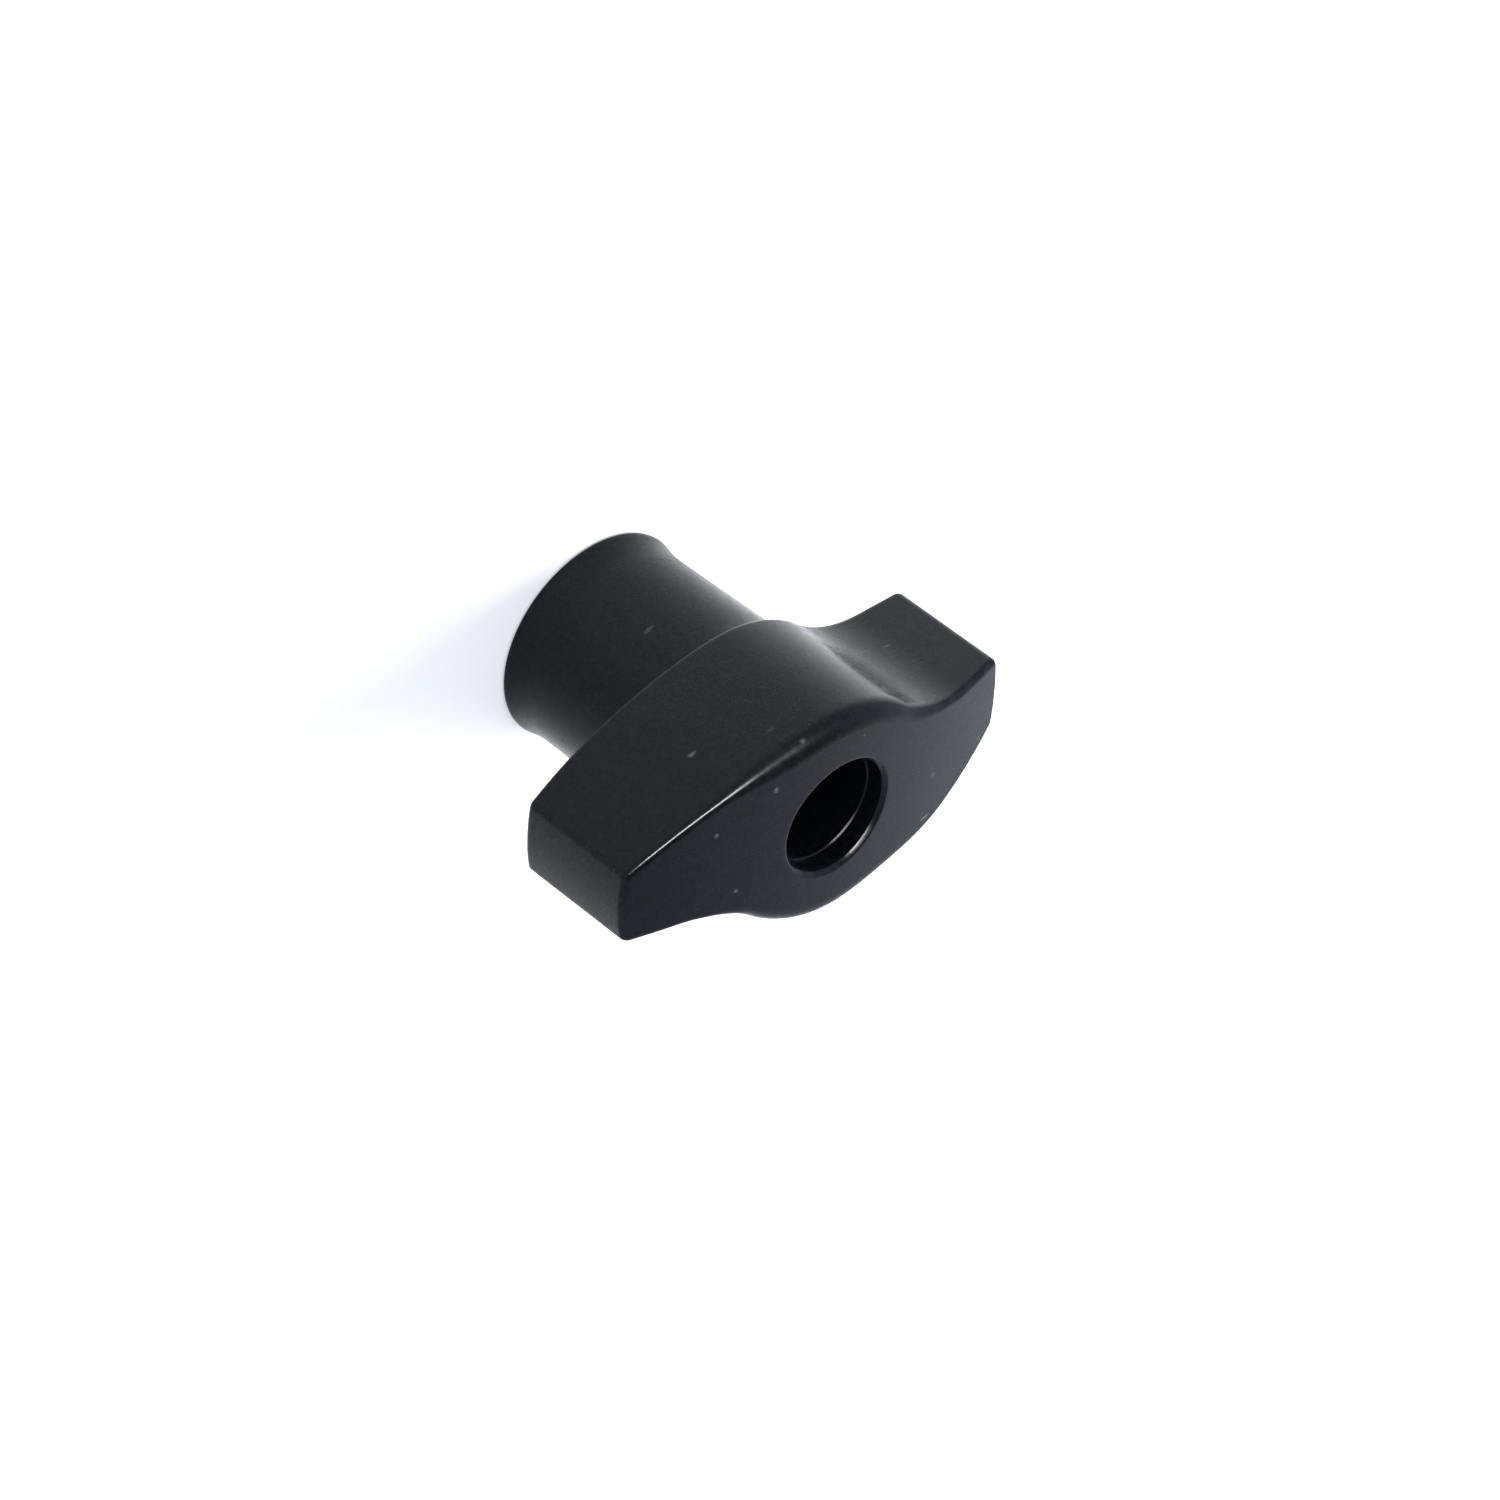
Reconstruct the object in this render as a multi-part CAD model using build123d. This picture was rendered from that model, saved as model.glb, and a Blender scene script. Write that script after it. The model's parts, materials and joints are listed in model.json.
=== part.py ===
from build123d import *
import os
from math import cos, hypot, pi, sin, sqrt

# Wing nut: one plastic moulding with two swept wings, moulded around a knurled metal bush that
# carries the thread. Origin: centre of the bearing face, at the free end of the neck. +Z runs up
# the bore towards the crowned face of the head, and the wings reach along +X and -X.
# All lengths are in millimetres.

# Overall sizes
span = 39.6              # tip to tip: both wing tips lie on a circle of this diameter
total_height = 28.6      # bearing face to the top of the crowned face, on the bore's axis
head_back = 14.7         # bearing face to the flat back of the head
crown_radius = 68.5      # the face of the head is crowned along the wings

# M8 thread and its bush
thread_major_radius = 4.0
thread_pitch = 1.25
bush_wall = 2.0          # from the thread's major diameter to the tips of the knurls
bush_length = 13.0
bush_end_band = 0.8      # plain band at each end of the bush
countersink_play = 0.2   # the countersinks are this much wider than the thread, in radius
knurl_count = 28
knurl_depth = 0.4
groove_width = 2.4       # groove round the middle of the bush, which stops it pulling out
groove_depth = 0.8

# Neck, around the bush
neck_wall = 2.8          # plastic outside the knurls at the waist of the neck
waist_height = 3.0
lip_flare = 0.35         # the lip at the bearing face stands out this much from the waist
lip_edge_radius = 0.3
neck_taper = 0.25        # the neck grows by this much, in radius, from the waist to the head

# Bore from the face of the head down to the bush, wide enough for the stud to come through
stud_clearance = 0.8
mouth_step = 0.2         # the mouth is this much wider than the bore, in radius
mouth_depth = 1.9
mouth_edge_radius = 0.35

# Outline of the head seen along the bore: one half, then the same half turned about the bore
hub_margin = 0.7         # the shoulder of the hub stands out this much from the neck
hub_radius = 12.3        # arc over the shoulder
hub_shift = 0.5          # the shoulder arc's centre stands this far towards its own flank
flank_radius = 35.0      # long convex flank from the shoulder to the tip
flank_end = 2.9          # from the X axis to where the flank meets the tip
scoop_radius = 11.0      # concave finger scoop on the other wing
wing_back = 4.0          # from the X axis to the straight stretch between scoop and tip
tip_corner_radius = 0.9  # upright corners of the tips
face_edge_radius = 0.7   # edge round the face of the head
back_edge_radius = 0.55  # edge round the back of the head

# Worked out from the sizes above
metric_minor = 0.541266  # minor radius of a metric thread: the major one less this times the pitch
thread_minor_radius = thread_major_radius - metric_minor * thread_pitch
countersink_radius = thread_major_radius + countersink_play
countersink_depth = countersink_radius - thread_minor_radius
bush_radius = thread_major_radius + bush_wall
knurl_root_radius = bush_radius - knurl_depth
groove_radius = bush_radius - groove_depth
bore_radius = thread_major_radius + stud_clearance
mouth_radius = bore_radius + mouth_step
waist_radius = bush_radius + neck_wall
lip_radius = waist_radius + lip_flare
neck_root_radius = waist_radius + neck_taper
hub_half_width = neck_root_radius + hub_margin
tip_circle = span / 2
over = 1.0               # how far one solid runs into or past the next


def toward(start, aim, distance):
    """The point at a distance from start, on the line from start through aim."""
    share = distance / hypot(aim[0] - start[0], aim[1] - start[1])
    return (start[0] + (aim[0] - start[0]) * share, start[1] + (aim[1] - start[1]) * share)


def circles_cross(centre_a, radius_a, centre_b, radius_b):
    """Where two circles cross, on the left of the line from centre a to centre b."""
    apart = hypot(centre_b[0] - centre_a[0], centre_b[1] - centre_a[1])
    along = (apart**2 + radius_a**2 - radius_b**2) / (2 * apart)
    aside = sqrt(radius_a**2 - along**2)
    ux = (centre_b[0] - centre_a[0]) / apart
    uy = (centre_b[1] - centre_a[1]) / apart
    return (centre_a[0] + ux * along - uy * aside, centre_a[1] + uy * along + ux * aside)


def arc_about(centre, start, end):
    """The short arc about a centre from start to end, as its start, middle and end."""
    halfway = ((start[0] + end[0]) / 2, (start[1] + end[1]) / 2)
    radius = hypot(start[0] - centre[0], start[1] - centre[1])
    return (start, toward(centre, halfway, radius), end)


def half_outline():
    """The arcs of the -Y side of the head, in order from the +X tip to the -X tip."""
    hub_centre = (hub_shift, hub_radius - hub_half_width)
    flank_start = (sqrt(tip_circle**2 - flank_end**2), -flank_end)
    flank_centre = circles_cross(hub_centre, flank_radius - hub_radius, flank_start, flank_radius)
    shoulder_start = toward(flank_centre, hub_centre, flank_radius)
    scoop_centre_y = -wing_back - scoop_radius
    reach = hub_radius + scoop_radius
    scoop_centre_x = hub_centre[0] - sqrt(reach**2 - (hub_centre[1] - scoop_centre_y)**2)
    scoop_centre = (scoop_centre_x, scoop_centre_y)
    shoulder_end = toward(hub_centre, scoop_centre, hub_radius)
    scoop_end = (scoop_centre_x, -wing_back)
    tip_corner = (-sqrt(tip_circle**2 - wing_back**2), -wing_back)
    other_flank_start = (-flank_start[0], -flank_start[1])
    return [
        arc_about(flank_centre, flank_start, shoulder_start),
        arc_about(hub_centre, shoulder_start, shoulder_end),
        arc_about(scoop_centre, shoulder_end, scoop_end),
        (scoop_end, tip_corner),
        arc_about((0, 0), tip_corner, other_flank_start),
    ]


def head_outline():
    """The S-shaped face that the head is raised from."""
    edges = []
    for sign in (1, -1):
        for points in half_outline():
            placed = [(sign * x, sign * y) for x, y in points]
            edges.append(Line(*placed) if len(placed) == 2 else ThreePointArc(*placed))
    return make_face(edges)


def head():
    """The winged head: raised from its outline, crowned over the face, and edged all round."""
    block = Pos(0, 0, head_back) * extrude(head_outline(), total_height - head_back)
    corners = [edge for edge in block.edges().filter_by(Axis.Z)
               if abs(hypot(edge.center().X, edge.center().Y) - tip_circle) < 0.01]
    block = fillet(corners, tip_corner_radius)
    crown = Pos(0, 0, total_height - crown_radius) * Rot(90, 0, 0) * Cylinder(crown_radius, span)
    block = block & crown
    face_edges = [edge for edge in block.edges() if edge.bounding_box().min.Z > head_back + over]
    block = fillet(face_edges, face_edge_radius)
    back_edges = [edge for edge in block.edges() if edge.bounding_box().max.Z < head_back + 0.01]
    return fillet(back_edges, back_edge_radius)


def neck():
    """The neck: a flared lip, a waist above it, and a slight taper up into the head."""
    rise = waist_height - lip_edge_radius
    flare_radius = (rise**2 + lip_flare**2) / (2 * lip_flare)
    flare_centre = (waist_radius + flare_radius, waist_height)
    lip_top = (lip_radius, lip_edge_radius)
    waist = (waist_radius, waist_height)
    root = (neck_root_radius, head_back + over)
    edge_start = (lip_radius - lip_edge_radius, 0)
    outline = [
        Line((0, 0), edge_start),
        ThreePointArc(*arc_about((lip_radius - lip_edge_radius, lip_edge_radius), edge_start, lip_top)),
        ThreePointArc(*arc_about(flare_centre, lip_top, waist)),
        Line(waist, root),
        Line(root, (0, head_back + over)),
        Line((0, head_back + over), (0, 0)),
    ]
    return revolve(Plane.XZ * make_face(outline), Axis.Z)


def disc(radius, low, high):
    """A round disc about the bore between two heights."""
    return Pos(0, 0, (low + high) / 2) * Cylinder(radius, high - low)


def knurled_disc(low, high):
    """A disc with straight V-shaped knurls all round, between two heights."""
    points = []
    for index in range(2 * knurl_count):
        radius = bush_radius if index % 2 == 0 else knurl_root_radius
        angle = pi * index / knurl_count
        points.append((radius * cos(angle), radius * sin(angle)))
    return Pos(0, 0, low) * extrude(make_face(Polyline(*points, close=True)), high - low)


def bush_outside():
    """The outer shape of the bush: plain ends, two knurled bands and the groove between them."""
    groove_low = (bush_length - groove_width) / 2
    groove_high = groove_low + groove_width
    solid = disc(knurl_root_radius, 0, bush_end_band)
    solid += knurled_disc(bush_end_band, groove_low)
    solid += disc(groove_radius, groove_low, groove_high)
    solid += knurled_disc(groove_high, bush_length - bush_end_band)
    solid += disc(knurl_root_radius, bush_length - bush_end_band, bush_length)
    return solid


def threaded_insert():
    """The metal bush: its hole is at the thread's minor diameter, countersunk at both ends."""
    hole = disc(thread_minor_radius, 0, bush_length)
    middle = countersink_depth / 2
    hole += Pos(0, 0, middle) * Cone(countersink_radius, thread_minor_radius, countersink_depth)
    hole += (Pos(0, 0, bush_length - middle)
             * Cone(thread_minor_radius, countersink_radius, countersink_depth))
    return bush_outside() - hole


def wing_body():
    """The moulding: head and neck in one, with the bore above the bush's pocket."""
    solid = head() + neck()
    solid -= disc(bore_radius, bush_length - over, total_height + over)
    solid -= disc(mouth_radius, total_height - mouth_depth, total_height + over)
    mouth_edges = [edge for edge in solid.edges()
                   if edge.bounding_box().min.Z > total_height - mouth_depth / 2
                   and edge.bounding_box().max.X < mouth_radius + 0.01
                   and edge.bounding_box().min.X > -mouth_radius - 0.01]
    solid = fillet(mouth_edges, mouth_edge_radius)
    return solid - bush_outside()


parts = {
    "wing_body": wing_body(),
    "threaded_insert": threaded_insert(),
}

os.makedirs("parts", exist_ok=True)
for name, shape in parts.items():
    export_step(shape, f"parts/{name}.step")
    print(name, round(shape.volume, 1), "mm3")
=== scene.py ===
# %% [markdown]
# # A moulded wing nut
# This lesson builds the finished look of a plastic wing nut around its CAD model. The real nut
# has two pieces: a black plastic body with an S-shaped head, and a threaded brass bush that the
# plastic is moulded around. The CAD file says how big everything is and where it goes. Here both
# pieces get a fine mesh, and a finish that behaves like the real material.

# %% Load the frame
import json
from math import atan, atan2, ceil, cos, hypot, pi, radians, sin, sqrt, tan

import bmesh
import bpy
from mathutils import Matrix, Vector


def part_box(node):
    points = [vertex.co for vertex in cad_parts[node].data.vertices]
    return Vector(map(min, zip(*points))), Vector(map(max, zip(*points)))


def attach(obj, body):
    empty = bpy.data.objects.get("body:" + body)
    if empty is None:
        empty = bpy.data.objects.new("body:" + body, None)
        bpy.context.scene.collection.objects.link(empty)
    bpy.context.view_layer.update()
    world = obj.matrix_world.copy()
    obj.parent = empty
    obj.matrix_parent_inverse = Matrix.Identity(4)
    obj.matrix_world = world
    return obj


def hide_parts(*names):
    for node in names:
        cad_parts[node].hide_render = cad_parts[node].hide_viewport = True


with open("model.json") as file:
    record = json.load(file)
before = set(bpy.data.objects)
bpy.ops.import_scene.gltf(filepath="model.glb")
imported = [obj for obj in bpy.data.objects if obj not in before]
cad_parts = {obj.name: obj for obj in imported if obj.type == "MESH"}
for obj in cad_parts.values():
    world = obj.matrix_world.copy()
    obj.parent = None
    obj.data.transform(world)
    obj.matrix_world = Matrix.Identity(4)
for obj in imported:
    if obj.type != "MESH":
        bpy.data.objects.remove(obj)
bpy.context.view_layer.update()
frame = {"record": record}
MM = 0.001

# %% [markdown]
# ## Sizes
# A designer keeps every size under a name and takes as many as possible from the CAD model, so
# that the two can't drift apart. The boxes of the CAD nodes give the overall sizes, and the mounts
# in the record give the bores. What is left are radii, edges and heights, and each of those is
# named in the step that first needs it, with the name and value that it has in the CAD model. All
# lengths are in millimetres here and become metres only when a mesh is made.

# %% Sizes from the CAD model
body_low, body_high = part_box("wing_body")
bush_low, bush_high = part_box("threaded_insert")
mounts = {mount["name"]: mount for mount in frame["record"]["mounts"]}

tip_circle = (body_high.x - body_low.x) / 2 / MM   # both wing tips lie on a circle of this radius
total_height = body_high.z / MM
hub_half_width = (body_high.y - body_low.y) / 2 / MM
bush_length = bush_high.z / MM
bush_radius = (bush_high.x - bush_low.x) / 2 / MM
mouth_radius = mounts["mouth"]["dims"]["r_mm"]
bore_radius = mounts["stud_bore"]["dims"]["r_mm"]
thread_minor_radius = mounts["thread"]["dims"]["r_mm"]
print("tip circle", round(tip_circle, 2), "height", round(total_height, 2),
      "hub", round(hub_half_width, 2))

# %% [markdown]
# ## The outline of the head
# Seen along the bore the head is a letter S made of arcs that run into each other: a long flank,
# a rounded shoulder over the hub, a hollow for the finger, a short straight stretch and the tip.
# The other half is the same, turned by half a turn. Tracing such a shape by hand gives wobbly
# highlights, so each arc is worked out from its radius and the arcs it touches. For each point
# the code keeps the direction that points out of the plastic, which the rounded edges need later.

# %% Points on arcs
outline_step = 0.3       # greatest distance between two points of the outline
corner_points = 8        # at least this many on each rounded corner of the tips


def toward(start, aim, distance):
    """The point at a distance from start, on the line from start through aim."""
    share = distance / hypot(aim[0] - start[0], aim[1] - start[1])
    return (start[0] + (aim[0] - start[0]) * share, start[1] + (aim[1] - start[1]) * share)


def circles_cross(centre_a, radius_a, centre_b, radius_b):
    """Where two circles cross, on the left of the line from centre a to centre b."""
    apart = hypot(centre_b[0] - centre_a[0], centre_b[1] - centre_a[1])
    along = (apart**2 + radius_a**2 - radius_b**2) / (2 * apart)
    aside = sqrt(radius_a**2 - along**2)
    ux = (centre_b[0] - centre_a[0]) / apart
    uy = (centre_b[1] - centre_a[1]) / apart
    return (centre_a[0] + ux * along - uy * aside, centre_a[1] + uy * along + ux * aside)


def walk_arc(centre, start, end, hollow=False, finest=1):
    """Points with outward directions along the short arc from start up to, but without, end."""
    first = atan2(start[1] - centre[1], start[0] - centre[0])
    turn = atan2(end[1] - centre[1], end[0] - centre[0]) - first
    turn = (turn + pi) % (2 * pi) - pi
    radius = hypot(start[0] - centre[0], start[1] - centre[1])
    count = max(ceil(abs(turn) * radius / outline_step), finest)
    side = -1 if hollow else 1
    walk = []
    for index in range(count):
        angle = first + turn * index / count
        out = (cos(angle), sin(angle))
        walk.append(((centre[0] + radius * out[0], centre[1] + radius * out[1]),
                     (side * out[0], side * out[1])))
    return walk


def walk_line(start, end, out):
    """The same along a straight line with one outward direction."""
    count = ceil(hypot(end[0] - start[0], end[1] - start[1]) / outline_step)
    return [((start[0] + (end[0] - start[0]) * index / count,
              start[1] + (end[1] - start[1]) * index / count), out) for index in range(count)]


quarter = walk_arc((0, 0), (tip_circle, 0), (0, tip_circle))
print("a quarter of the tip circle takes", len(quarter), "points")

# %% Sizes of the outline
hub_radius = 12.3        # arc over the shoulder
hub_shift = 0.5          # the shoulder arc's centre stands this far towards its own flank
flank_radius = 35.0
flank_end = 2.9          # from the X axis to where the flank meets the tip
scoop_radius = 11.0
wing_back = 4.0          # from the X axis to the straight stretch between scoop and tip
tip_corner_radius = 0.9
print("shoulder", hub_radius, "flank", flank_radius, "scoop", scoop_radius, "mm in radius")


# %% One half of the S, then both
def half_outline():
    """The -Y side of the head, from the +X tip to the -X tip, as (point, outward direction)."""
    hub = (hub_shift, hub_radius - hub_half_width)
    sharp_tip = (sqrt(tip_circle**2 - flank_end**2), -flank_end)
    flank = circles_cross(hub, flank_radius - hub_radius, sharp_tip, flank_radius)
    corner = circles_cross(flank, flank_radius - tip_corner_radius,
                           (0, 0), tip_circle - tip_corner_radius)
    flank_start = toward(flank, corner, flank_radius)
    corner_on_tip = toward((0, 0), corner, tip_circle)
    shoulder_start = toward(flank, hub, flank_radius)
    scoop_y = -wing_back - scoop_radius
    scoop_x = hub[0] - sqrt((hub_radius + scoop_radius)**2 - (hub[1] - scoop_y)**2)
    shoulder_end = toward(hub, (scoop_x, scoop_y), hub_radius)
    scoop_end = (scoop_x, -wing_back)
    back_y = tip_corner_radius - wing_back
    back_corner = (-sqrt((tip_circle - tip_corner_radius)**2 - back_y**2), back_y)
    other_corner = (-corner[0], -corner[1])
    other_on_tip = (-corner_on_tip[0], -corner_on_tip[1])
    walk = walk_arc(flank, flank_start, shoulder_start)
    walk += walk_arc(hub, shoulder_start, shoulder_end)
    walk += walk_arc((scoop_x, scoop_y), shoulder_end, scoop_end, hollow=True)
    walk += walk_line(scoop_end, (back_corner[0], -wing_back), (0, -1))
    back_on_tip = toward((0, 0), back_corner, tip_circle)
    walk += walk_arc(back_corner, (back_corner[0], -wing_back), back_on_tip, finest=corner_points)
    walk += walk_arc((0, 0), back_on_tip, other_on_tip)
    walk += walk_arc(other_corner, other_on_tip, (-flank_start[0], -flank_start[1]),
                     finest=corner_points)
    return walk


def whole_outline():
    """Both halves in order, turning from +X through +Y, as an unwound letter S."""
    half = half_outline()
    turned = [((-point[0], -point[1]), (-out[0], -out[1])) for point, out in half]
    return list(reversed(half + turned))


outline = whole_outline()
print("the outline has", len(outline), "points")

# %% [markdown]
# ## The body as a stack of loops
# The whole moulding can be described by closed loops of points around the bore: up the bore, over
# the crowned face, round the face edge, down the sides, under the head, down the neck, round the
# lip and back up the pocket that holds the bush. Joining each loop to the next gives one closed
# skin with no seams. Sculpting or a boolean would also give the shape, but loops keep the mesh
# even and put extra lines just beside each rounded edge, so that flat areas stay flat in the
# reflections. Each loop also notes how much hands and shelves have rubbed it, as a number from
# 0 to 1, and the material later turns that number into wear.

# %% Heights and edge radii along the head
head_back = 14.7         # bearing face to the flat back of the head
crown_radius = 68.5
tip_face_edge = 0.6      # the edge round the face is crisp at the tips ...
hub_face_edge = 1.6      # ... and much softer where it passes the hub
soft_edge_start = 5.0    # from here along the wings the edge sharpens ...
soft_edge_end = 13.0     # ... until here


def arc_shares(count):
    """Even shares from 0 to 1, both ends included."""
    return [index / count for index in range(count + 1)]


def crown(x, y):
    """Height of the face: a cylinder across the wings, highest on the bore's axis."""
    return total_height - crown_radius + sqrt(crown_radius**2 - x**2)


def face_edge(x):
    """Radius of the edge round the face, at this distance along the wings."""
    share = min(max((abs(x) - soft_edge_start) / (soft_edge_end - soft_edge_start), 0.0), 1.0)
    return hub_face_edge + (tip_face_edge - hub_face_edge) * share**2 * (3 - 2 * share)


def face_edge_point(point, out, share):
    """A point on the rounded edge between side and face: share 0 is on the side, 1 on the face."""
    radius = face_edge(point[0])
    slope = out[0] * point[0] / sqrt(crown_radius**2 - point[0]**2)
    centre_drop = radius * (slope - sqrt(1 + slope**2))
    angle = share * (pi / 2 - atan(slope))
    inward = radius * (1 - cos(angle))
    height = crown(*point) + centre_drop + radius * sin(angle)
    return (point[0] - out[0] * inward, point[1] - out[1] * inward, height)


print("face edge radius along a wing:", [round(face_edge(x), 2) for x in range(4, 16, 2)], "mm")

# %% The mouth of the bore in section
mouth_edge = 0.3         # the mouth's edge is rounded down to a slope ...
mouth_slope = 0.32       # ... that goes on as a short lead-in


def mouth_profile():
    """(radius, depth below the face) from the face down to the bore: a round, a slope, a round."""
    top_radius = mouth_radius + mouth_slope + mouth_edge * tan(pi / 8)
    profile = []
    for share in arc_shares(4):
        angle = share * pi / 4
        profile.append((top_radius - mouth_edge * sin(angle), mouth_edge * (1 - cos(angle))))
    small = mouth_edge / 3
    slope_end_depth = mouth_slope - small * tan(pi / 8) * sqrt(0.5)
    for share in arc_shares(3):
        angle = pi / 4 * (1 - share)
        profile.append((mouth_radius + small * (1 - cos(angle)),
                        slope_end_depth + small * (sin(pi / 4) - sin(angle))))
    return profile


print("mouth, radius and depth:", [(round(r, 2), round(d, 2)) for r, d in mouth_profile()])

# %% Loops of the head
back_edge = 0.55


def side_loop(height_share):
    """A loop on the upright side, from the back edge, 0, to the face edge, 1."""
    low = head_back + back_edge
    loop = []
    for point, out in outline:
        high = face_edge_point(point, out, 0)[2]
        loop.append((point[0], point[1], low + (high - low) * height_share))
    return loop


def back_edge_loop(share):
    """A loop on the rounded back edge: share 0 is on the side, 1 on the flat back."""
    inward = back_edge * (1 - cos(share * pi / 2))
    height = head_back + back_edge * (1 - sin(share * pi / 2))
    return [(point[0] - out[0] * inward, point[1] - out[1] * inward, height)
            for point, out in outline]


def face_loop(share):
    """A loop on the face, from the bore's edge, 0, to the end of the rounded edge, 1."""
    start = mouth_profile()[0][0]
    loop = []
    for point, out in outline:
        x, y, _ = face_edge_point(point, out, 1)
        angle = atan2(y, x)
        x0, y0 = start * cos(angle), start * sin(angle)
        x1, y1 = x0 + (x - x0) * share, y0 + (y - y0) * share
        loop.append((x1, y1, crown(x1, y1)))
    return loop


def bore_loop(radius, height=None, below_face=0.0):
    """A round loop in the bore, at a height, or at a depth below the crowned face."""
    loop = []
    for point, out in outline:
        x, y, _ = face_edge_point(point, out, 1)
        angle = atan2(y, x)
        x, y = radius * cos(angle), radius * sin(angle)
        loop.append((x, y, crown(x, y) - below_face if height is None else height))
    return loop


print("the side is", round(side_loop(1)[0][2] - side_loop(0)[0][2], 2), "mm high at the tip")

# %% Round loops and the knurls of the bush
knurl_count = 28
knurl_depth = 0.4
bush_end_band = 0.8      # plain band at each end of the bush
groove_width = 2.4       # groove round the middle, which stops the bush pulling out
groove_depth = 0.8
columns_per_knurl = 6
round_count = knurl_count * columns_per_knurl


def round_loop(radius, height):
    """An evenly divided circle. radius may be a number, or a function of the angle's index."""
    loop = []
    for index in range(round_count):
        angle = 2 * pi * index / round_count
        r = radius(index) if callable(radius) else radius
        loop.append((r * cos(angle), r * sin(angle), height))
    return loop


def knurl(index):
    """Radius of the V-shaped knurls: highest at each knurl's tip and straight down between."""
    tip_angle = pi / knurl_count
    root = bush_radius - knurl_depth
    angle = abs((index * 2 * pi / round_count + tip_angle) % (2 * tip_angle) - tip_angle)
    flat = atan2(root * sin(tip_angle), bush_radius - root * cos(tip_angle))
    return bush_radius * sin(flat) / sin(pi - flat - angle)


def bush_side():
    """Loops up the outside of the bush, which are also those of its pocket."""
    root = bush_radius - knurl_depth
    groove = bush_radius - groove_depth
    groove_low = (bush_length - groove_width) / 2
    groove_high = groove_low + groove_width
    top_band = bush_length - bush_end_band
    steps = [(root, 0), (root, bush_end_band), (knurl, bush_end_band), (knurl, groove_low),
             (groove, groove_low), (groove, groove_high), (knurl, groove_high), (knurl, top_band),
             (root, top_band), (root, bush_length)]
    return [round_loop(radius, height) for radius, height in steps]


print("the bush has", knurl_count, "knurls, each in", columns_per_knurl, "columns")

# %% Loops of the neck
waist_height = 3.0
waist_radius = 8.8
lip_radius = 9.15
lip_edge = 0.3
neck_root_radius = 9.05
neck_root_fillet = 0.1
support = 0.2            # extra loops stand this far from a corner, so that it shades cleanly


def neck_loops():
    """From the root fillet under the head down to the pocket's edge on the bearing face."""
    loops = []
    fillet = neck_root_fillet
    for share in arc_shares(4):
        angle = share * pi / 2
        loops.append(round_loop(neck_root_radius + fillet * (1 - sin(angle)),
                                head_back - fillet * (1 - cos(angle))))
    for share in arc_shares(8)[1:]:
        radius = neck_root_radius + (waist_radius - neck_root_radius) * share
        height = head_back - fillet + (waist_height - head_back + fillet) * share
        loops.append(round_loop(radius, height))
    rise = waist_height - lip_edge
    flare = lip_radius - waist_radius
    flare_radius = (rise**2 + flare**2) / (2 * flare)
    for share in arc_shares(8)[1:]:
        drop = rise * share
        radius = waist_radius + flare_radius - sqrt(flare_radius**2 - drop**2)
        loops.append(round_loop(radius, waist_height - drop))
    for share in arc_shares(6)[1:]:
        angle = share * pi / 2
        loops.append(round_loop(lip_radius - lip_edge * (1 - cos(angle)),
                                lip_edge * (1 - sin(angle))))
    loops.append(round_loop(lip_radius - lip_edge - support / 2, 0))
    return loops


print("the neck takes", len(neck_loops()), "loops of", round_count, "points")

# %% [markdown]
# ## Skinning the loops
# Two loops with the same number of points are joined by four-sided faces. Where the S-shaped
# loops meet the round ones, the counts differ, so the two are zipped: a triangle is added on
# whichever side lags behind in angle. Both ways leave every edge shared by exactly two faces,
# which is what makes the mesh closed.

# %% Join loops into a skin
def add_loop(mesh, loop, rub, rub_layer):
    """Add one loop of vertices, in metres. rub is one number, or one for each point."""
    verts = [mesh.verts.new(Vector(point) * MM) for point in loop]
    for index, vert in enumerate(verts):
        vert[rub_layer] = rub[index] if isinstance(rub, list) else rub
    return verts


def join_loops(mesh, lower, upper):
    """Four-sided faces between two loops of the same count."""
    count = len(lower)
    for index in range(count):
        after = (index + 1) % count
        mesh.faces.new((lower[index], lower[after], upper[after], upper[index]))


def zip_loops(mesh, first, second):
    """Triangles between two loops of different counts that both turn from +X through +Y."""
    def around(vert):
        return atan2(vert.co.y, vert.co.x) % (2 * pi)

    def unwound(loop):
        start = min(range(len(loop)), key=lambda index: around(loop[index]))
        turned = loop[start:] + loop[:start]
        angles = [around(vert) for vert in turned]
        return turned + turned[:1], angles + [angles[0] + 2 * pi]

    a, a_angles = unwound(first)
    b, b_angles = unwound(second)
    i = j = 0
    while i < len(a) - 1 or j < len(b) - 1:
        if j == len(b) - 1 or (i < len(a) - 1 and a_angles[i + 1] <= b_angles[j + 1]):
            mesh.faces.new((a[i], a[i + 1], b[j]))
            i += 1
        else:
            mesh.faces.new((a[i], b[j + 1], b[j]))
            j += 1


# %% Turn a skin into an object
def finish_mesh(mesh, name, crease_angle=35):
    """Turn a bmesh into an object at the origin, faces outward, smooth apart from real corners."""
    bmesh.ops.recalc_face_normals(mesh, faces=mesh.faces)
    if mesh.calc_volume(signed=True) < 0:
        bmesh.ops.reverse_faces(mesh, faces=mesh.faces)
    open_edges = [edge for edge in mesh.edges if len(edge.link_faces) != 2]
    print(name, "has", len(mesh.faces), "faces and", len(open_edges), "open edges,",
          round(mesh.calc_volume() / MM**3, 1), "mm3")
    data = bpy.data.meshes.new(name)
    mesh.to_mesh(data)
    mesh.free()
    for face in data.polygons:
        face.use_smooth = True
    data.set_sharp_from_angle(angle=radians(crease_angle))
    piece = bpy.data.objects.new(name, data)
    bpy.context.scene.collection.objects.link(piece)
    return piece


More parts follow.
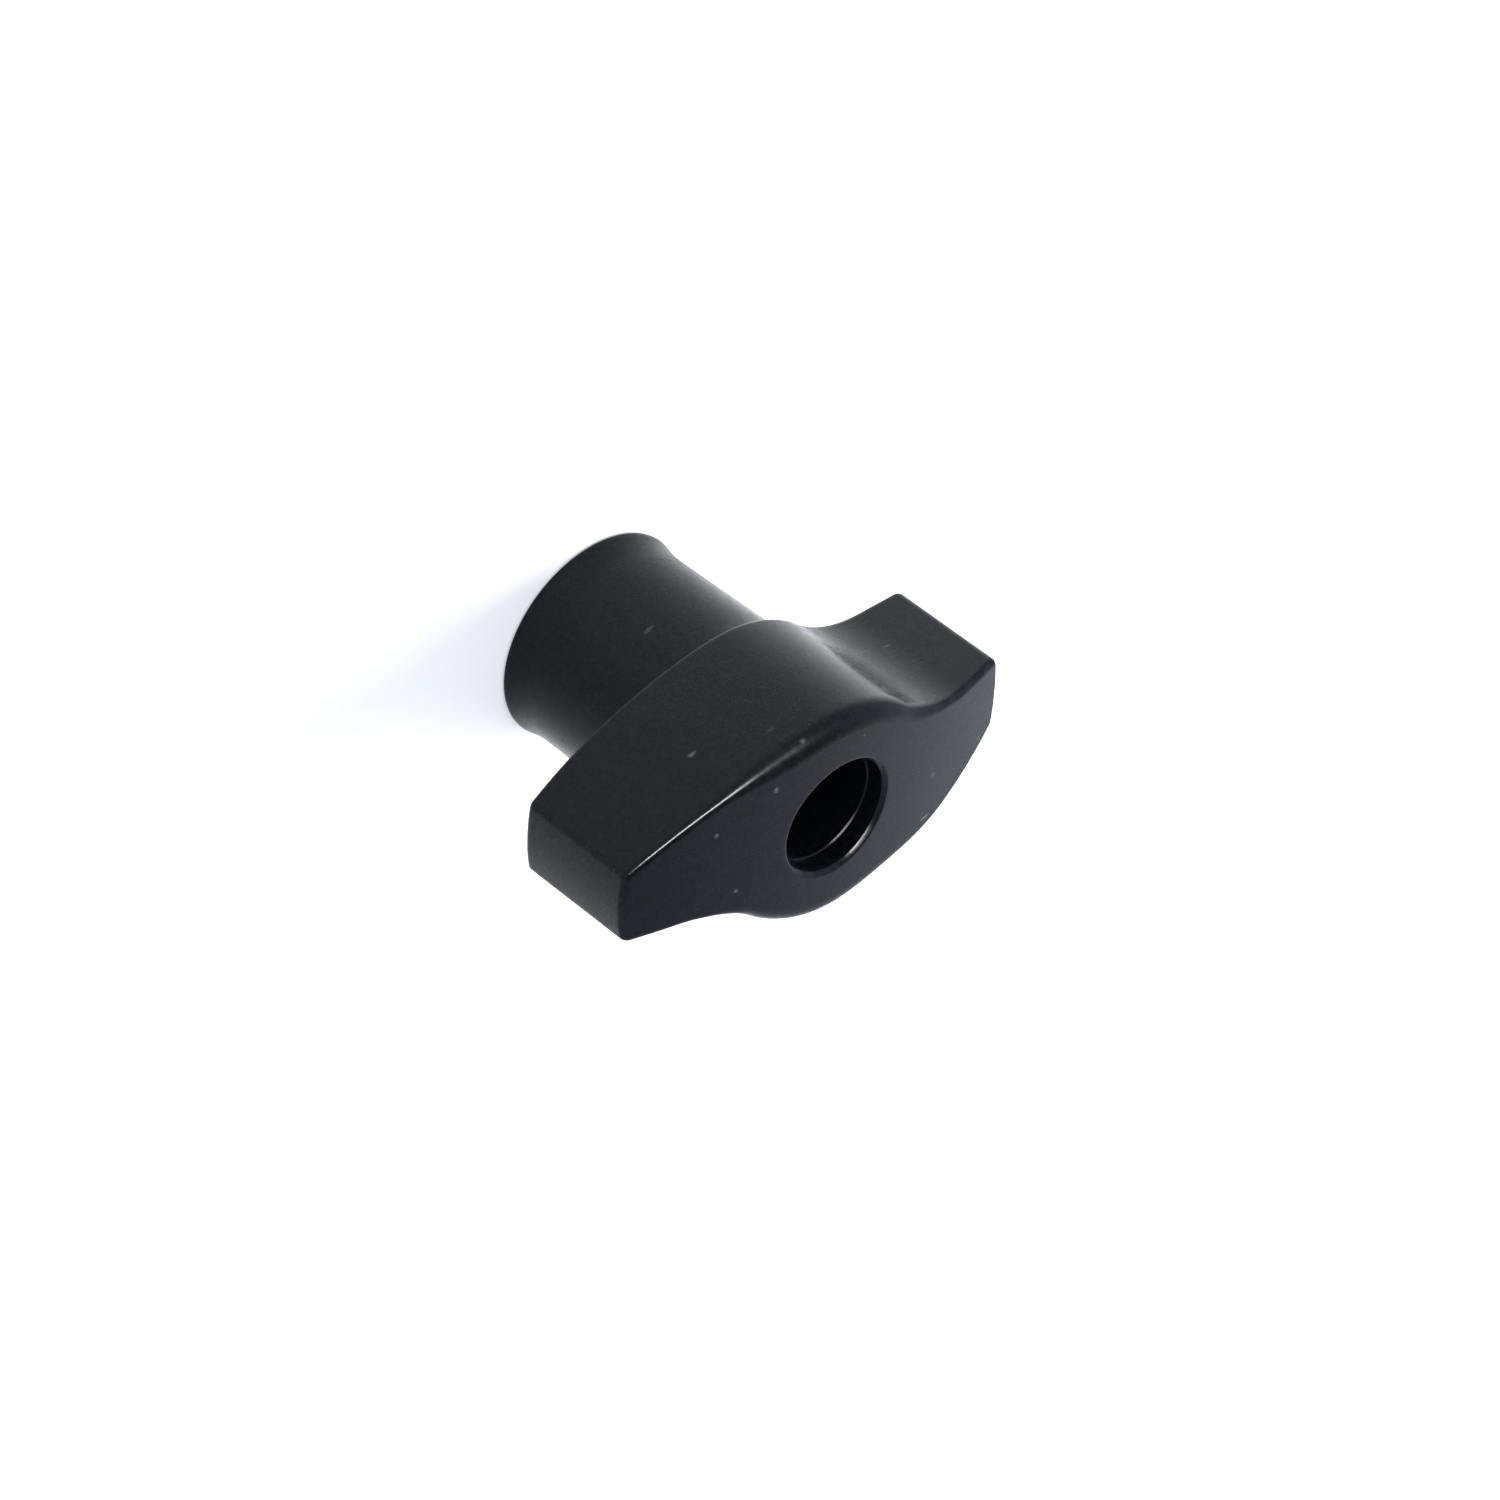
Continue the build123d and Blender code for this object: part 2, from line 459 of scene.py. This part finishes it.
# %% The loops up the bore, with their rubbing
mouth_depth = 1.9
mouth_wall = 0.9         # the evenly divided part of the mouth's upright wall
mouth_rub = 0.5          # the stud rubs the mouth, but less than hands rub the outer edges
step_edge = 0.1          # slope round the step between bore and mouth


def bore_loops():
    """(loop, rubbing) from the top of the bush up the bore to the face."""
    loops = [(bore_loop(bore_radius, bush_length), 0)]
    step_height = total_height - mouth_depth
    low = bush_length + support
    high = step_height - 3 * step_edge
    for share in arc_shares(6):
        loops.append((bore_loop(bore_radius, low + (high - low) * share), 0))
    loops.append((bore_loop(bore_radius, step_height - step_edge), 0))
    loops.append((bore_loop(bore_radius + step_edge, step_height), 0))
    for share in arc_shares(3):
        loops.append((bore_loop(mouth_radius, step_height + mouth_wall * share), 0))
    for radius, depth in reversed(mouth_profile()):
        loops.append((bore_loop(radius, below_face=depth), mouth_rub))
    return loops


print(len(bore_loops()), "loops up the bore")

# %% The loops round the head, with their rubbing
face_shares = (0.02, 0.06, 0.14, 0.26, 0.4, 0.55, 0.7, 0.82, 0.91, 0.97, 1.0)
side_shares = (0.98, 0.92, 0.8, 0.65, 0.5, 0.35, 0.2, 0.08, 0.02, 0.0)


def head_loops():
    """(loop, rubbing) over the face, round its edge, down the sides and under the head."""
    loops = [(face_loop(share), 0) for share in face_shares]
    for share in reversed(arc_shares(10)[:-1]):
        loop = [face_edge_point(point, out, share) for point, out in outline]
        crisp = [(tip_face_edge / face_edge(point[0]))**2 for point, out in outline]
        loops.append((loop, [sin(pi * share) * amount for amount in crisp]))
    loops += [(side_loop(share), 0) for share in side_shares]
    loops += [(back_edge_loop(share), sin(pi * share)) for share in arc_shares(6)[1:]]
    return loops


print(len(head_loops()), "loops round the head")


# %% The moulded body
def body_mesh():
    """The whole moulding as one closed skin."""
    mesh = bmesh.new()
    rub_layer = mesh.verts.layers.float.new("rub")
    rings = [add_loop(mesh, loop, rub, rub_layer) for loop, rub in bore_loops() + head_loops()]
    for lower, upper in zip(rings, rings[1:]):
        join_loops(mesh, lower, upper)
    rounds = [add_loop(mesh, loop, 0, rub_layer) for loop in neck_loops() + bush_side()]
    for lower, upper in zip(rounds, rounds[1:]):
        join_loops(mesh, lower, upper)
    zip_loops(mesh, rings[-1], rounds[0])
    zip_loops(mesh, rounds[-1], rings[0])
    return finish_mesh(mesh, "moulded_body")


body = body_mesh()

# %% [markdown]
# ## The threaded bush
# The bush is a short brass tube. Its outside is straight-knurled with a groove round the middle,
# so that it can neither turn in the plastic nor pull out. Inside it has an M8 thread: a V-shaped
# groove that climbs 1.25 mm each turn. A thread follows a simple rule, so Geometry Nodes make it:
# take a flat grid, roll it into a tube, lift each row a little as it goes round, and push each row
# in or out by the thread's profile. Above and below the bush the rows are squeezed onto its two
# end faces, and the countersinks cut the first and last turns away, as on the real part.

# %% A helper that adds one node
def add_node(tree, kind, inputs=(), **settings):
    """Add a node with its settings and links.

    inputs is a list for its first sockets, or maps a socket's name or number to what it takes:
    a value, a socket to link, or a node, which stands for its first output.
    """
    node = tree.nodes.new(kind)
    for name, value in settings.items():
        setattr(node, name, value)
    for key, value in inputs.items() if isinstance(inputs, dict) else enumerate(inputs):
        if isinstance(value, bpy.types.Node):
            value = value.outputs[0]
        if isinstance(value, bpy.types.NodeSocket):
            tree.links.new(value, node.inputs[key])
        else:
            node.inputs[key].default_value = value
    return node


# %% Sizes of the thread
thread_major_radius = 4.0
thread_pitch = 1.25
countersink_radius = 4.2
rows_per_turn = 16
crest_width = 0.25       # flat crest of the profile, in pitches; the flanks stand at 60 degrees
root_width = 0.125       # flat root of the profile, in pitches
root_centre = 0.625      # where the root lies in each turn
nudge = 0.0001           # of a turn, so that rounding never decides which turn a row belongs to
weld_distance = 0.002    # rows squeezed onto one another are welded to one
print("thread", 2 * thread_major_radius, "x", thread_pitch, "mm over", round(bush_length, 2), "mm")


# %% The rule of the thread, first half: a grid, and the height of each of its points
def thread_inputs(tree):
    """Give the tree its inputs and output, and return the sockets that carry the inputs."""
    face = tree.interface
    face.new_socket("Shell", in_out="INPUT", socket_type="NodeSocketGeometry")
    for name in ("Minor radius", "Major radius", "Pitch", "Length", "Countersink radius"):
        face.new_socket(name, in_out="INPUT", socket_type="NodeSocketFloat")
    for name in ("Columns", "Rows per turn"):
        face.new_socket(name, in_out="INPUT", socket_type="NodeSocketInt")
    face.new_socket("Material", in_out="INPUT", socket_type="NodeSocketMaterial")
    face.new_socket("Bush", in_out="OUTPUT", socket_type="NodeSocketGeometry")
    return add_node(tree, "NodeGroupInput").outputs


def thread_grid(tree, given):
    """The flat grid, and for its points: the share of a turn, the row's turns, and the height."""
    exact = add_node(tree, "ShaderNodeMath", [given["Length"], given["Pitch"]], operation="DIVIDE")
    whole = add_node(tree, "ShaderNodeMath", [exact], operation="CEIL")
    turns = add_node(tree, "ShaderNodeMath", [whole, 1], operation="ADD")
    steps = add_node(tree, "ShaderNodeMath", [turns, given["Rows per turn"]], operation="MULTIPLY")
    rows = add_node(tree, "ShaderNodeMath", [steps, 1], operation="ADD")
    columns = add_node(tree, "ShaderNodeMath", [given["Columns"], 1], operation="ADD")
    grid = add_node(tree, "GeometryNodeMeshGrid", [1, 1, columns, rows])

    place = add_node(tree, "GeometryNodeInputPosition")
    place = add_node(tree, "ShaderNodeSeparateXYZ", [place]).outputs
    turn = add_node(tree, "ShaderNodeMath", [place["X"], 0.5], operation="ADD")
    up = add_node(tree, "ShaderNodeMath", [place["Y"], 0.5], operation="ADD")
    up = add_node(tree, "ShaderNodeMath", [up, turns], operation="MULTIPLY")
    row_turns = add_node(tree, "ShaderNodeMath", [up, 1], operation="SUBTRACT")
    climbed = add_node(tree, "ShaderNodeMath", [row_turns, turn], operation="ADD")
    free = add_node(tree, "ShaderNodeMath", [climbed, given["Pitch"]], operation="MULTIPLY")
    below = add_node(tree, "ShaderNodeMath", [free, given["Length"]], operation="MINIMUM")
    height = add_node(tree, "ShaderNodeMath", [below, 0], operation="MAXIMUM")
    return grid, turn, row_turns, height


# %% The rule of the thread, second half: the radius of each point, then the finished bush
def thread_radius(tree, given, row_turns, height):
    """The radius that the profile of one turn gives, or the countersinks where they are wider."""
    phase = add_node(tree, "ShaderNodeMath", [row_turns, 1 + nudge], operation="ADD")
    phase = add_node(tree, "ShaderNodeMath", [phase], operation="FRACT")
    off = add_node(tree, "ShaderNodeMath", [phase, root_centre + nudge], operation="SUBTRACT")
    off_root = add_node(tree, "ShaderNodeMath", [off], operation="ABSOLUTE")
    cut = add_node(tree, "ShaderNodeMapRange", {
        "Value": off_root, "From Min": 0.5 - crest_width / 2, "From Max": root_width / 2,
        "To Min": given["Minor radius"], "To Max": given["Major radius"]})
    sink = given["Countersink radius"]
    lower = add_node(tree, "ShaderNodeMath", [sink, height], operation="SUBTRACT")
    left = add_node(tree, "ShaderNodeMath", [given["Length"], height], operation="SUBTRACT")
    upper = add_node(tree, "ShaderNodeMath", [sink, left], operation="SUBTRACT")
    wider = add_node(tree, "ShaderNodeMath", [lower, upper], operation="MAXIMUM")
    return add_node(tree, "ShaderNodeMath", [cut, wider], operation="MAXIMUM")


def thread_tree():
    """A node tree that adds the thread's surface to the shell of the bush."""
    tree = bpy.data.node_groups.new("internal_thread", "GeometryNodeTree")
    given = thread_inputs(tree)
    grid, turn, row_turns, height = thread_grid(tree, given)
    radius = thread_radius(tree, given, row_turns, height)
    angle = add_node(tree, "ShaderNodeMath", [turn, 2 * pi], operation="MULTIPLY")
    across = add_node(tree, "ShaderNodeMath", [angle], operation="COSINE")
    along = add_node(tree, "ShaderNodeMath", [angle], operation="SINE")
    x = add_node(tree, "ShaderNodeMath", [radius, across], operation="MULTIPLY")
    y = add_node(tree, "ShaderNodeMath", [radius, along], operation="MULTIPLY")
    where = add_node(tree, "ShaderNodeCombineXYZ", [x, y, height])
    rolled = add_node(tree, "GeometryNodeSetPosition", {"Geometry": grid, "Position": where})
    joined = add_node(tree, "GeometryNodeJoinGeometry", [rolled])
    tree.links.new(given["Shell"], joined.inputs[0])
    welded = add_node(tree, "GeometryNodeMergeByDistance", {
        "Geometry": joined, "Distance": weld_distance * MM})
    real = add_node(tree, "GeometryNodeRealizeInstances", [welded])
    finished = add_node(tree, "GeometryNodeSetMaterial", {
        "Geometry": real, "Material": given["Material"]})
    add_node(tree, "NodeGroupOutput", [finished])
    print("the thread's tree has", len(tree.nodes), "nodes")
    return tree


# %% The shell of the bush, then its thread
def bush_shell():
    """The outside and the two end faces of the bush, open inside where the thread goes."""
    mesh = bmesh.new()
    loops = [round_loop(countersink_radius, 0)] + bush_side()
    loops.append(round_loop(countersink_radius, bush_length))
    rings = [[mesh.verts.new(Vector(point) * MM) for point in loop] for loop in loops]
    for lower, upper in zip(rings, rings[1:]):
        join_loops(mesh, lower, upper)
    data = bpy.data.meshes.new("bush_shell")
    mesh.to_mesh(data)
    mesh.free()
    return data


def threaded_bush(material):
    """The finished bush: shell and thread in one closed mesh."""
    maker = bpy.data.objects.new("bush_maker", bush_shell())
    bpy.context.scene.collection.objects.link(maker)
    modifier = maker.modifiers.new("thread", "NODES")
    modifier.node_group = thread_tree()
    values = {"Minor radius": thread_minor_radius * MM, "Major radius": thread_major_radius * MM,
              "Pitch": thread_pitch * MM, "Length": bush_length * MM,
              "Countersink radius": countersink_radius * MM, "Columns": round_count,
              "Rows per turn": rows_per_turn, "Material": material}
    for socket in modifier.node_group.interface.items_tree:
        if socket.in_out == "INPUT" and socket.name in values:
            modifier[socket.identifier] = values[socket.name]
    bpy.context.view_layer.update()
    evaluated = maker.evaluated_get(bpy.context.evaluated_depsgraph_get())
    made = bpy.data.meshes.new_from_object(evaluated)
    bpy.data.objects.remove(maker)
    mesh = bmesh.new()
    mesh.from_mesh(made)
    bmesh.ops.dissolve_degenerate(mesh, edges=mesh.edges, dist=weld_distance / 4 * MM)
    piece = finish_mesh(mesh, "threaded_bush", crease_angle=25)
    piece.data.materials.append(material)
    return piece


# %% [markdown]
# ## Colour
# Colours are written as the sRGB hex values that a colour picker shows. Blender works with linear
# light, so one function turns them.

# %% Hex to linear
def colour(hex_code):
    """An sRGB hex code as linear red, green, blue and a full alpha."""
    shares = [int(hex_code[index:index + 2], 16) / 255 for index in (1, 3, 5)]
    linear = [share / 12.92 if share <= 0.04045 else ((share + 0.055) / 1.055)**2.4
              for share in shares]
    return (*linear, 1.0)


print("white is", colour("#ffffff"))


# %% [markdown]
# ## Black moulded nylon
# The body is glass-filled nylon coloured through with carbon black, moulded in a spark-eroded tool.
# The tool leaves a fine even grain, so the plastic looks satin: dark where it faces the eye and
# pale where it reflects at a low angle. Handling polishes the raised edges a little and leaves
# small pale scuffs and dust. The grain is a bump, the satin is roughness with slow variation, and
# scuffs and edge wear change both colour and roughness.

# %% Small specks and scuffs
smallest_mark = 0.35     # the smallest mark, as a share of the largest
fray_size = 1.5          # size of the noise that frays a mark's edge, in radii of the mark


def sparse_marks(tree, place, spacing, radius, share, stretch=(1, 1, 1), turn=(0, 0, 0)):
    """A mask of scattered marks, stretched and turned. Spacing and radius are in mm.

    Each cell of the spacing has a mark with the chance that share gives.
    """
    turned = add_node(tree, "ShaderNodeMapping", {
        "Vector": place, "Rotation": turn, "Scale": stretch})
    wobble = add_node(tree, "ShaderNodeTexNoise", {
        "Vector": turned, "Scale": 1 / (radius * fray_size * MM), "Detail": 2.0}).outputs["Color"]
    shift = add_node(tree, "ShaderNodeVectorMath", [wobble, (0.5, 0.5, 0.5)], operation="SUBTRACT")
    shift = add_node(tree, "ShaderNodeVectorMath", {0: shift, "Scale": radius * MM},
                     operation="SCALE")
    uneven = add_node(tree, "ShaderNodeVectorMath", [turned, shift], operation="ADD")
    cells = add_node(tree, "ShaderNodeTexVoronoi", {
        "Vector": uneven, "Scale": 1 / (spacing * MM)}).outputs
    chance = add_node(tree, "ShaderNodeSeparateColor", [cells["Color"]]).outputs
    chosen = add_node(tree, "ShaderNodeMath", [chance[0], share], operation="LESS_THAN")
    size = add_node(tree, "ShaderNodeMapRange", {
        "Value": chance[1], "To Min": smallest_mark * radius / spacing, "To Max": radius / spacing})
    mark = add_node(tree, "ShaderNodeMapRange", {
        "Value": cells["Distance"], "From Min": size, "From Max": 0.0})
    return add_node(tree, "ShaderNodeMath", [mark, chosen], operation="MULTIPLY")


# %% The patterns of the nylon
noise_sizes = {          # name: size in mm, detail
    "grain": (0.16, 3.0),      # spark-eroded grain: finer on a real part, where it would not show
    "mottle": (0.7, 4.0),      # uneven gloss where the glass comes near the skin
    "cloud": (6.0, 3.0),       # slow change from handling
    "patches": (1.4, 4.0),     # the rubbed edges wear through in patches
}
noise_roughness = 0.6


def nylon_patterns(tree):
    """The named noises, the rubbing that the mesh carries, and the mask of the pale marks."""
    place = add_node(tree, "ShaderNodeTexCoord").outputs["Object"]
    patterns = {}
    for name, (size, detail) in noise_sizes.items():
        patterns[name] = add_node(tree, "ShaderNodeTexNoise", {
            "Vector": place, "Scale": 1 / (size * MM), "Detail": detail,
            "Roughness": noise_roughness})
    patterns["rub"] = add_node(tree, "ShaderNodeAttribute", attribute_name="rub").outputs["Fac"]
    specks = sparse_marks(tree, place, spacing=3.0, radius=0.32, share=0.35)
    scuffs = sparse_marks(tree, place, spacing=4.2, radius=0.5, share=0.35,
                          stretch=(0.45, 1.4, 1.4), turn=(0.3, 0.5, 0.6))
    patterns["marks"] = add_node(tree, "ShaderNodeMath", [specks, scuffs], operation="MAXIMUM")
    return patterns


# %% The nylon
base_gloss = 0.11        # roughness where both noises are lowest ...
gloss_swing = 0.16       # ... and how much each of them adds
polish = -0.12           # change of roughness where an edge is rubbed
mark_dulling = 0.3       # change of roughness, and share of the pale colour, in a mark
wear_strength = 0.12     # share of the worn colour where an edge is worn through
mottle_contrast = (2.4, -0.7)    # scale and shift that stretch a noise until it covers 0 to 1
patch_contrast = (3.0, -1.2)
mix_a, mix_b, mix_result = 6, 7, 2     # the colour sockets of a Mix node


def moulded_nylon():
    """Glass-filled black nylon: fine grain, satin sheen, pale scuffs, rubbed edges."""
    material = bpy.data.materials.new("moulded_black_nylon")
    material.use_nodes = True
    tree = material.node_tree
    shader = tree.nodes["Principled BSDF"]
    patterns = nylon_patterns(tree)
    mottle, rub, marks = patterns["mottle"], patterns["rub"], patterns["marks"]

    uneven = add_node(tree, "ShaderNodeMath", [mottle, *mottle_contrast],
                      operation="MULTIPLY_ADD", use_clamp=True)
    patchy = add_node(tree, "ShaderNodeMath", [patterns["patches"], *patch_contrast],
                      operation="MULTIPLY_ADD", use_clamp=True)
    wear = add_node(tree, "ShaderNodeMath", [rub, patchy], operation="MULTIPLY")
    worn = add_node(tree, "ShaderNodeMath", [wear, wear_strength], operation="MULTIPLY")
    pale = add_node(tree, "ShaderNodeMath", [marks, mark_dulling], operation="MULTIPLY")
    finish = colour("#07090e")
    for factor, hex_code in ((uneven, "#0e1116"), (worn, "#4a4d50"), (pale, "#9a9d9b")):
        finish = add_node(tree, "ShaderNodeMix", {
            "Factor": factor, mix_a: finish, mix_b: colour(hex_code)},
            data_type="RGBA").outputs[mix_result]
    tree.links.new(finish, shader.inputs["Base Color"])

    satin = add_node(tree, "ShaderNodeMath", [mottle, patterns["cloud"]], operation="ADD")
    satin = add_node(tree, "ShaderNodeMath", [satin, gloss_swing, base_gloss],
                     operation="MULTIPLY_ADD")
    satin = add_node(tree, "ShaderNodeMath", [rub, polish, satin], operation="MULTIPLY_ADD")
    satin = add_node(tree, "ShaderNodeMath", [marks, mark_dulling, satin],
                     operation="MULTIPLY_ADD")
    tree.links.new(satin.outputs[0], shader.inputs["Roughness"])

    bump = add_node(tree, "ShaderNodeBump", {
        "Height": patterns["grain"], "Strength": 0.15, "Distance": 0.02 * MM})
    bump = add_node(tree, "ShaderNodeBump", {
        "Height": mottle, "Strength": 0.1, "Distance": 0.05 * MM, "Normal": bump})
    tree.links.new(bump.outputs[0], shader.inputs["Normal"])
    shader.inputs["IOR"].default_value = 1.2
    return material


nylon = moulded_nylon()
body.data.materials.append(nylon)
print(nylon.name, "has", len(nylon.node_tree.nodes), "nodes")

# %% [markdown]
# ## Turned brass
# The bush is free-cutting brass from an automatic lathe: a warm metal with fine lines where the
# tool went round. The lines are rings about the bore, so they come from a noise that is read at
# each point's radius and height alone, which makes it the same all the way round. Air leaves brass
# slightly uneven, which a slow noise adds to both colour and roughness.

# %% The brass
line_size = 0.12         # turning lines; real ones are finer and would not show
dull_size = 2.5          # patches of dulled brass


def turned_brass():
    """Free-cutting brass with fine turning lines and a slightly dull, uneven surface."""
    material = bpy.data.materials.new("turned_brass")
    material.use_nodes = True
    tree = material.node_tree
    shader = tree.nodes["Principled BSDF"]
    place = add_node(tree, "ShaderNodeTexCoord").outputs["Object"]
    parts = add_node(tree, "ShaderNodeSeparateXYZ", [place]).outputs
    squares = [add_node(tree, "ShaderNodeMath", [parts[axis], parts[axis]], operation="MULTIPLY")
               for axis in ("X", "Y")]
    total = add_node(tree, "ShaderNodeMath", squares, operation="ADD")
    radius = add_node(tree, "ShaderNodeMath", [total], operation="SQRT")
    ring = add_node(tree, "ShaderNodeCombineXYZ", {"X": radius, "Z": parts["Z"]})
    lines = add_node(tree, "ShaderNodeTexNoise", {
        "Vector": ring, "Scale": 1 / (line_size * MM), "Detail": 3.0})
    dull = add_node(tree, "ShaderNodeTexNoise", {
        "Vector": place, "Scale": 1 / (dull_size * MM), "Detail": 4.0})
    metal = add_node(tree, "ShaderNodeMix", {
        "Factor": dull, mix_a: colour("#d2ab58"), mix_b: colour("#a98038")}, data_type="RGBA")
    satin = add_node(tree, "ShaderNodeMapRange", {"Value": dull, "To Min": 0.2, "To Max": 0.42})
    bump = add_node(tree, "ShaderNodeBump", {
        "Height": lines, "Strength": 0.25, "Distance": 0.01 * MM})
    tree.links.new(metal.outputs[mix_result], shader.inputs["Base Color"])
    tree.links.new(satin.outputs[0], shader.inputs["Roughness"])
    tree.links.new(bump.outputs[0], shader.inputs["Normal"])
    shader.inputs["Metallic"].default_value = 1.0
    return material


brass = turned_brass()
bush = threaded_bush(brass)
print(brass.name, "has", len(brass.node_tree.nodes), "nodes")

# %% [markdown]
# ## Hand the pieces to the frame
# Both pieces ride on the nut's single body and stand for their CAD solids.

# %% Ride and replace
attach(body, "root")
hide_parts("wing_body")
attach(bush, "root")
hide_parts("threaded_insert")
print("pieces:", body.name, "and", bush.name)

# %% [markdown]
# ## A pale table
# The nut stands on its bearing face on a wide white table. A curved paper backdrop is the usual
# studio answer, but this camera looks down on the nut, so a flat disc fills the whole view. The
# table glows a little, which stands for all the light that a white room throws back at it.

# %% The table
table_radius = 3000.0
table_gap = 0.02       # two faces in exactly one plane would flicker into each other
table_glow = 0.3
table_roughness = 0.7


def pale_table():
    """A wide pale disc just under the bearing face."""
    mesh = bmesh.new()
    bmesh.ops.create_circle(mesh, cap_ends=True, radius=table_radius * MM, segments=96)
    data = bpy.data.meshes.new("pale_table")
    mesh.to_mesh(data)
    mesh.free()
    table = bpy.data.objects.new("pale_table", data)
    table.location.z = -table_gap * MM
    bpy.context.scene.collection.objects.link(table)
    material = bpy.data.materials.new("white_laminate")
    material.use_nodes = True
    shader = material.node_tree.nodes["Principled BSDF"]
    shader.inputs["Base Color"].default_value = colour("#f4f5f6")
    shader.inputs["Roughness"].default_value = table_roughness
    shader.inputs["Emission Color"].default_value = colour("#ffffff")
    shader.inputs["Emission Strength"].default_value = table_glow
    data.materials.append(material)


pale_table()
print("table radius", table_radius, "mm, glow", table_glow)

# %% [markdown]
# ## Walls and ceiling
# A black object is drawn by what it reflects. Bright walls all round give the plastic its pale,
# satin flanks, and a darker ceiling leaves a dark band along the edge of the head, so that face and
# side read apart. An image of a real studio would also work, but a gradient from wall to ceiling is
# lighter, has no noise, and is set with two brightnesses and two elevations.

# %% The studio around the nut
wall_light = 1.2
ceiling_light = 0.25
ceiling_from = 42      # degrees above the horizon where the walls begin to darken ...
ceiling_full = 62      # ... and where the dark ceiling is reached


def studio_walls():
    """Bright walls all round and a darker ceiling, blended softly between two elevations."""
    world = bpy.data.worlds.new("studio")
    bpy.context.scene.world = world
    world.use_nodes = True
    tree = world.node_tree
    ray = add_node(tree, "ShaderNodeTexCoord").outputs["Generated"]
    up = add_node(tree, "ShaderNodeSeparateXYZ", {0: ray}).outputs["Z"]
    strength = add_node(tree, "ShaderNodeMapRange", {
        "Value": up, "To Min": wall_light, "To Max": ceiling_light,
        "From Min": sin(radians(ceiling_from)), "From Max": sin(radians(ceiling_full))},
        interpolation_type="SMOOTHSTEP")
    background = tree.nodes["Background"]
    background.inputs["Color"].default_value = colour("#eef3ff")
    tree.links.new(strength.outputs[0], background.inputs["Strength"])


studio_walls()
bpy.context.scene.view_settings.view_transform = "Standard"
print("walls", wall_light, "ceiling", ceiling_light)

# %% [markdown]
# ## Lamps
# Three soft lamps add what the even walls can't. The key lamp is a strip high in front that draws
# the crisp line along the edge of the near wing. It is left out of the diffuse light, which would
# only grey the black. The side lamp brightens the right of the face. The table lamp makes a bright
# patch on the table, and the shoulder of the hub reflects that patch.

# %% Soft lamps
nut_middle = Vector((0, 0, total_height / 2))
lamp_distance = 600
table_patch = Vector((-66, 18, 0))     # the middle of the bright patch on the table


def soft_lamp(name, place, aim, width, height, power):
    """A rectangular area light at a place, facing what it is aimed at, both in mm."""
    lamp = bpy.data.lights.new(name, "AREA")
    lamp.shape = "RECTANGLE"
    lamp.size = width * MM
    lamp.size_y = height * MM
    lamp.energy = power
    holder = bpy.data.objects.new(name, lamp)
    holder.location = Vector(place) * MM
    away = Vector(place) - Vector(aim)
    holder.rotation_euler = away.to_track_quat("Z", "Y").to_euler()
    bpy.context.scene.collection.objects.link(holder)
    return holder


def direction(azimuth, elevation):
    """A direction from two angles in degrees. Azimuth turns from the -Y side towards +X."""
    a, e = radians(azimuth), radians(elevation)
    return Vector((sin(a) * cos(e), -cos(a) * cos(e), sin(e)))


def toward_lamp(azimuth, elevation):
    """The place of a far lamp, in a direction from the nut's middle."""
    return nut_middle + direction(azimuth, elevation) * lamp_distance


key_lamp = soft_lamp("key_lamp", toward_lamp(azimuth=24, elevation=50), nut_middle,
                     width=440, height=150, power=21)
key_lamp.visible_diffuse = False
soft_lamp("side_lamp", toward_lamp(azimuth=230, elevation=20), nut_middle,
          width=400, height=300, power=0.16)
table_lamp = soft_lamp("table_lamp", table_patch + Vector((0, 0, 100)), table_patch,
                       width=80, height=80, power=0.24)
table_lamp.visible_glossy = False

# %% [markdown]
# ## Camera
# A long lens from about half a metre, looking down on the head from beside one wing. The camera is
# rolled well over, so the nut looks as if it lies on its side, as a nut on a table usually does.

# %% The camera
camera_azimuth = 40.19      # round the nut, from looking along +Y
camera_elevation = 32.26    # above the horizon
camera_roll = 126.53        # about the camera's own view
camera_distance = 499.5
camera_lens = 152.04
aim_point = (-5.64, 6.49, 13.07)


def studio_camera():
    """A camera on a sphere round the point that it looks at, rolled about its own view."""
    data = bpy.data.cameras.new("camera")
    data.lens = camera_lens
    data.sensor_width = 36
    data.clip_start = 0.01
    data.clip_end = 20
    camera = bpy.data.objects.new("camera", data)
    back = direction(camera_azimuth, camera_elevation)
    upright = (-back).to_track_quat("-Z", "Y").to_matrix()
    turn = upright @ Matrix.Rotation(radians(camera_roll), 3, "Z")
    camera.location = (Vector(aim_point) + back * camera_distance) * MM
    camera.rotation_euler = turn.to_euler()
    bpy.context.scene.collection.objects.link(camera)
    bpy.context.scene.camera = camera
    return camera


camera = studio_camera()
print("camera at", [round(side / MM) for side in camera.location], "mm")
